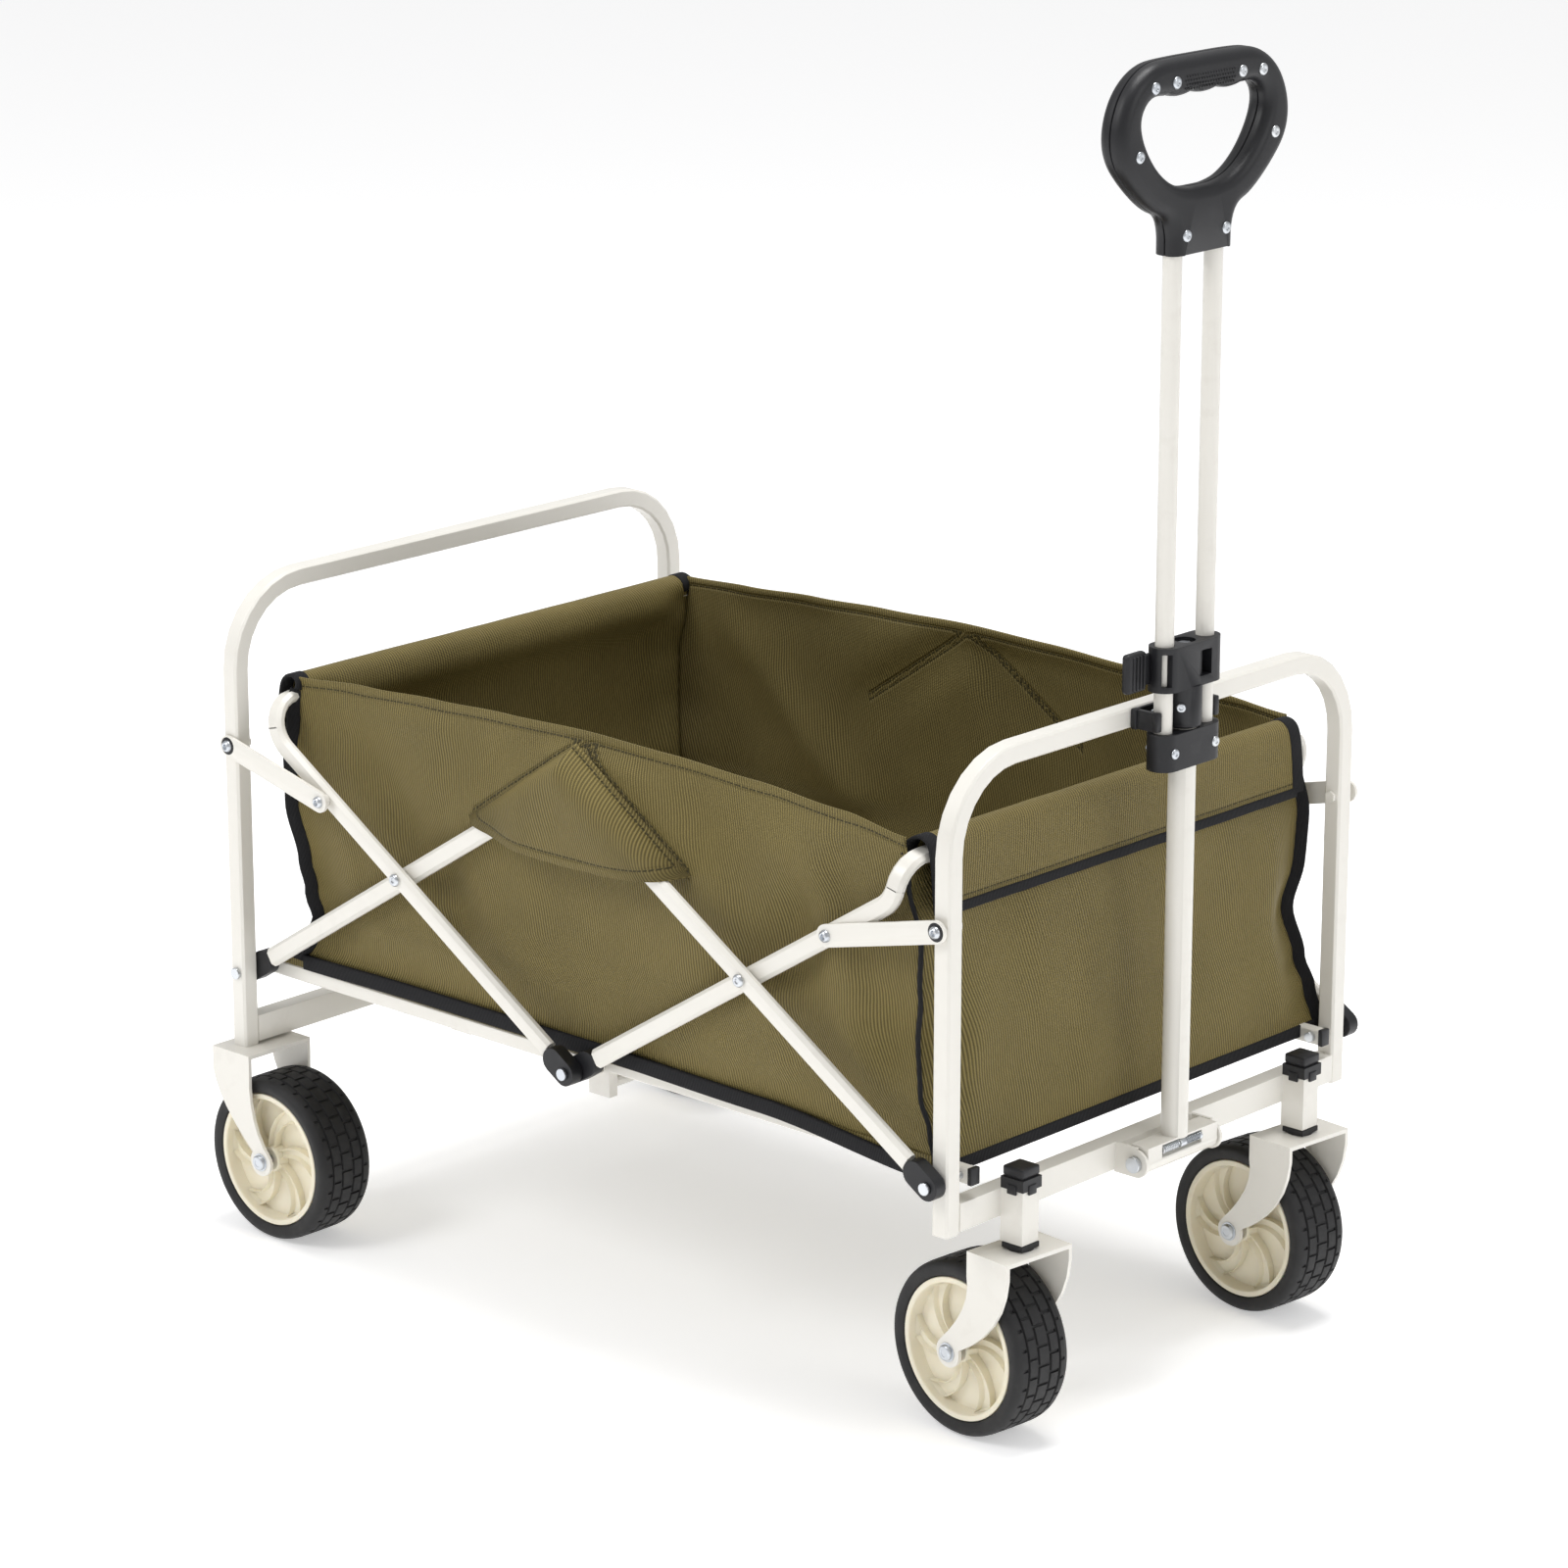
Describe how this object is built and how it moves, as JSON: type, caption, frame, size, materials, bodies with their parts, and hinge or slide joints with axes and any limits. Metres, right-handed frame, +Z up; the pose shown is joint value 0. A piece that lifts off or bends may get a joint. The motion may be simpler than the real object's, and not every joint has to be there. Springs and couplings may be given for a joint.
{
  "type": "folding utility wagon",
  "caption": "Folding wagon with a fabric tub, scissor side frames, fixed rear wheels, swivelling front wheels and a telescopic pull handle held upright in a clip.",
  "frame": {"origin": "on the floor, at the middle of the box around the open wagon", "axes": "+X forwards, the handle end; +Y to the wagon's left; +Z up"},
  "size_m": [0.8956, 0.6012, 1.114],
  "materials": {
    "frame_paint": "warm off-white powder coat, satin",
    "black_plastic": "fine textured black",
    "zinc_steel": "zinc plated",
    "hub_plastic": "cream, satin",
    "tyre": "matte black, treaded",
    "tub_fabric": "olive khaki coated twill with black bindings"
  },
  "bodies": {
    "rear_frame": {"rear_frame": "frame_paint", "rear_pivot_bolt_left": "zinc_steel", "rear_pivot_bolt_right": "zinc_steel", "rear_axle_bolt_left": "zinc_steel", "rear_axle_bolt_right": "zinc_steel"},
    "rear_arms": {"rear_arm_left": "frame_paint", "rear_arm_right": "frame_paint", "rear_arm_cap_left": "black_plastic", "rear_arm_cap_right": "black_plastic"},
    "rear_cross": {"rear_cross_frame": "frame_paint", "rear_cross_cap_left": "black_plastic", "rear_cross_cap_right": "black_plastic", "centre_bolt_left": "zinc_steel", "centre_bolt_right": "zinc_steel"},
    "front_arms": {"front_arm_left": "frame_paint", "front_arm_right": "frame_paint", "front_arm_cap_left": "black_plastic", "front_arm_cap_right": "black_plastic"},
    "front_cross": {"front_cross_frame": "frame_paint", "front_cross_cap_left": "black_plastic", "front_cross_cap_right": "black_plastic"},
    "front_frame": {"front_frame": "frame_paint", "handle_pivot_bolt": "zinc_steel", "handle_clip": "black_plastic", "front_pivot_bolt_left": "zinc_steel", "front_pivot_bolt_right": "zinc_steel", "caster_liner_left": "black_plastic", "caster_liner_right": "black_plastic"},
    "rear_panel": {"rear_panel": "tub_fabric", "side_panel_left": "tub_fabric", "side_panel_right": "tub_fabric"},
    "front_panel": {"front_panel": "tub_fabric"},
    "rear_rails": {"rear_rail_frame": "frame_paint", "floor_rear": "tub_fabric"},
    "front_rails": {"front_rail_frame": "frame_paint", "floor_front": "tub_fabric"},
    "rear_links": {"rear_link_left": "frame_paint", "rear_link_right": "frame_paint"},
    "front_links": {"front_link_left": "frame_paint", "front_link_right": "frame_paint"},
    "handle": {"handle_lower_tube": "frame_paint", "clamp_head": "black_plastic"},
    "handle_slide": {"twin_tube_left": "frame_paint", "twin_tube_right": "frame_paint", "handle_collar": "black_plastic", "grip_front_shell": "black_plastic", "grip_back_shell": "black_plastic"},
    "cam_lever": {"cam_lever": "black_plastic"},
    "rear_wheel_left": {"rear_hub_left": "hub_plastic", "rear_tyre_left": "tyre"},
    "caster_left": {"caster_fork_left": "frame_paint", "front_axle_bolt_left": "zinc_steel"},
    "front_wheel_left": {"front_hub_left": "hub_plastic", "front_tyre_left": "tyre"},
    "rear_wheel_right": {"rear_hub_right": "hub_plastic", "rear_tyre_right": "tyre"},
    "caster_right": {"caster_fork_right": "frame_paint", "front_axle_bolt_right": "zinc_steel"},
    "front_wheel_right": {"front_hub_right": "hub_plastic", "front_tyre_right": "tyre"}
  },
  "joints": [
    {"name": "fold", "type": "hinge", "parent": "rear_frame", "child": "rear_arms", "pos_m": [-0.4127, 0, 0.24], "axis": [0, -1, 0], "range_deg": [0, 38], "deforming": ["side_panel_left", "side_panel_right", "floor_rear", "floor_front"]},
    {"name": "rear_crossing", "type": "hinge", "parent": "rear_arms", "child": "rear_cross", "pos_m": [-0.2107, 0, 0.368], "axis": [0, -1, 0], "range_deg": [-76, 0]},
    {"name": "peak", "type": "hinge", "parent": "rear_arms", "child": "front_arms", "pos_m": [-0.0087, 0, 0.496], "axis": [0, -1, 0], "range_deg": [-76, 0]},
    {"name": "front_crossing", "type": "hinge", "parent": "front_arms", "child": "front_cross", "pos_m": [0.1933, 0, 0.368], "axis": [0, -1, 0], "range_deg": [0, 76]},
    {"name": "front_leg_pivot", "type": "hinge", "parent": "front_arms", "child": "front_frame", "pos_m": [0.3953, 0, 0.24], "axis": [0, -1, 0], "range_deg": [0, 38]},
    {"name": "rear_panel_hang", "type": "hinge", "parent": "rear_cross", "child": "rear_panel", "pos_m": [-0.3687, 0, 0.497], "axis": [0, -1, 0], "range_deg": [0, 38]},
    {"name": "front_panel_hang", "type": "hinge", "parent": "front_cross", "child": "front_panel", "pos_m": [0.3513, 0, 0.497], "axis": [0, -1, 0], "range_deg": [-38, 0]},
    {"name": "rear_rail_lift", "type": "hinge", "parent": "rear_frame", "child": "rear_rails", "pos_m": [-0.4127, 0, 0.24], "axis": [0, -1, 0], "range_deg": [0, 67]},
    {"name": "front_rail_lift", "type": "hinge", "parent": "front_frame", "child": "front_rails", "pos_m": [0.3953, 0, 0.24], "axis": [0, -1, 0], "range_deg": [-67, 0]},
    {"name": "rear_link_turn", "type": "hinge", "parent": "rear_frame", "child": "rear_links", "pos_m": [-0.4127, 0, 0.4506], "axis": [0, -1, 0], "range_deg": [0, 81]},
    {"name": "front_link_turn", "type": "hinge", "parent": "front_frame", "child": "front_links", "pos_m": [0.3953, 0, 0.4506], "axis": [0, -1, 0], "range_deg": [-81, 0]},
    {"name": "handle_tilt", "type": "hinge", "parent": "front_frame", "child": "handle", "pos_m": [0.4253, 0, 0.206], "axis": [0, 1, 0], "range_deg": [0, 95]},
    {"name": "handle_slide", "type": "slide", "parent": "handle", "child": "handle_slide", "axis": [0, 0, 1], "range_m": [-0.285, 0]},
    {"name": "clamp_lever", "type": "hinge", "parent": "handle", "child": "cam_lever", "pos_m": [0.4149, -0.0285, 0.6225], "axis": [0, 0, -1], "range_deg": [0, 70]},
    {"name": "rear_wheel_spin_left", "type": "hinge", "parent": "rear_frame", "child": "rear_wheel_left", "pos_m": [-0.3727, 0.26, 0.075], "axis": [0, 1, 0], "continuous": true},
    {"name": "caster_swivel_left", "type": "hinge", "parent": "front_frame", "child": "caster_left", "pos_m": [0.4163, 0.185, 0.17], "axis": [0, 0, 1], "continuous": true},
    {"name": "front_wheel_spin_left", "type": "hinge", "parent": "caster_left", "child": "front_wheel_left", "pos_m": [0.37147, 0.18892, 0.075], "axis": [0.0872, 0.9962, 0], "continuous": true},
    {"name": "rear_wheel_spin_right", "type": "hinge", "parent": "rear_frame", "child": "rear_wheel_right", "pos_m": [-0.3727, -0.26, 0.075], "axis": [0, 1, 0], "continuous": true},
    {"name": "caster_swivel_right", "type": "hinge", "parent": "front_frame", "child": "caster_right", "pos_m": [0.4163, -0.185, 0.17], "axis": [0, 0, 1], "continuous": true},
    {"name": "front_wheel_spin_right", "type": "hinge", "parent": "caster_right", "child": "front_wheel_right", "pos_m": [0.37147, -0.18108, 0.075], "axis": [0.0872, 0.9962, 0], "continuous": true}
  ],
  "couplings": [
    {"joint": "rear_crossing", "follows": "fold", "ratio": -2},
    {"joint": "peak", "follows": "fold", "ratio": -2},
    {"joint": "front_crossing", "follows": "fold", "ratio": 2},
    {"joint": "front_leg_pivot", "follows": "fold", "ratio": 1},
    {"joint": "rear_panel_hang", "follows": "fold", "ratio": 1},
    {"joint": "front_panel_hang", "follows": "fold", "ratio": -1},
    {"joint": "rear_rail_lift", "follows": "fold", "ratio": 1.7514},
    {"joint": "front_rail_lift", "follows": "fold", "ratio": -1.7514},
    {"joint": "rear_link_turn", "follows": "fold", "ratio": 2.1294},
    {"joint": "front_link_turn", "follows": "fold", "ratio": -2.1294}
  ]
}
